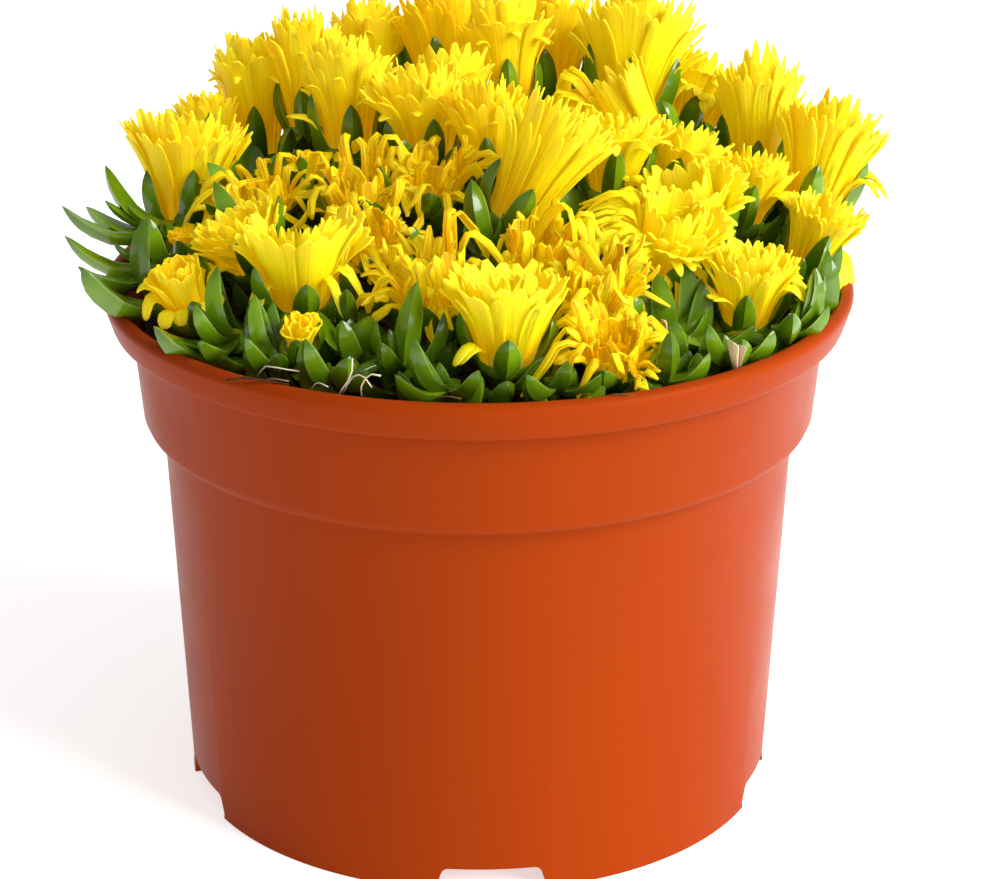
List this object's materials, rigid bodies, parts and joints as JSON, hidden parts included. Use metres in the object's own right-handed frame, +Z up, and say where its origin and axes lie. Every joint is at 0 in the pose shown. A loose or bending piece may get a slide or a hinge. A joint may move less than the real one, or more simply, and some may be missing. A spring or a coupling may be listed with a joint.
{
  "type": "potted ice plant",
  "caption": "Succulent ice plant with yellow many-petalled blooms and fleshy leaves, growing in a round terracotta-coloured nursery pot with a wide collar and a notched foot.",
  "frame": {"origin": "middle of the circle that the pot stands on, at the table", "axes": "+Z up along the pot's axis, -Y towards the front of the plant, +X to its right as seen from the front"},
  "size_m": [0.1318, 0.12, 0.1225],
  "materials": {
    "pot_plastic": "satin-gloss moulded plastic",
    "potting_soil": "matt, crumbly",
    "leaf_green": "fleshy, with a waxy sheen",
    "petal_yellow": "soft, slightly silky"
  },
  "bodies": {
    "root": {"back_1": "petal_yellow", "back_2": "petal_yellow", "back_3": "petal_yellow", "back_arching": "petal_yellow", "back_big_fan": "petal_yellow", "back_left_1": "petal_yellow", "back_left_2": "petal_yellow", "back_right": "petal_yellow", "front_bud": "petal_yellow", "front_flared": "petal_yellow", "front_spidery_1": "petal_yellow", "front_spidery_2": "petal_yellow", "front_wilted_1": "petal_yellow", "front_wilted_2": "petal_yellow", "front_wilted_3": "petal_yellow", "leaning_fan": "petal_yellow", "left_back_fan": "petal_yellow", "left_back_small": "petal_yellow", "left_bud": "petal_yellow", "left_fan": "petal_yellow", "left_front_flared": "petal_yellow", "left_front_small": "petal_yellow", "left_golden": "petal_yellow", "left_tiny_bud": "petal_yellow", "left_wilted": "petal_yellow", "middle": "petal_yellow", "middle_back": "petal_yellow", "middle_left": "petal_yellow", "middle_wilted": "petal_yellow", "pot": "pot_plastic", "rear_1": "petal_yellow", "rear_2": "petal_yellow", "rear_3": "petal_yellow", "right_fan": "petal_yellow", "right_flared": "petal_yellow", "right_front_fan": "petal_yellow", "right_front_flared": "petal_yellow", "right_low": "petal_yellow", "right_middle_1": "petal_yellow", "right_middle_2": "petal_yellow", "right_pair": "petal_yellow", "right_tall": "petal_yellow", "soil": "potting_soil", "stem_01": "leaf_green", "stem_02": "leaf_green", "stem_03": "leaf_green", "stem_04": "leaf_green", "stem_05": "leaf_green", "stem_06": "leaf_green", "stem_07": "leaf_green", "stem_08": "leaf_green", "stem_09": "leaf_green", "stem_10": "leaf_green", "stem_11": "leaf_green", "stem_12": "leaf_green", "stem_13": "leaf_green", "stem_14": "leaf_green", "stem_15": "leaf_green", "tall_left": "petal_yellow", "wilted_star": "petal_yellow"}
  },
  "joints": []
}
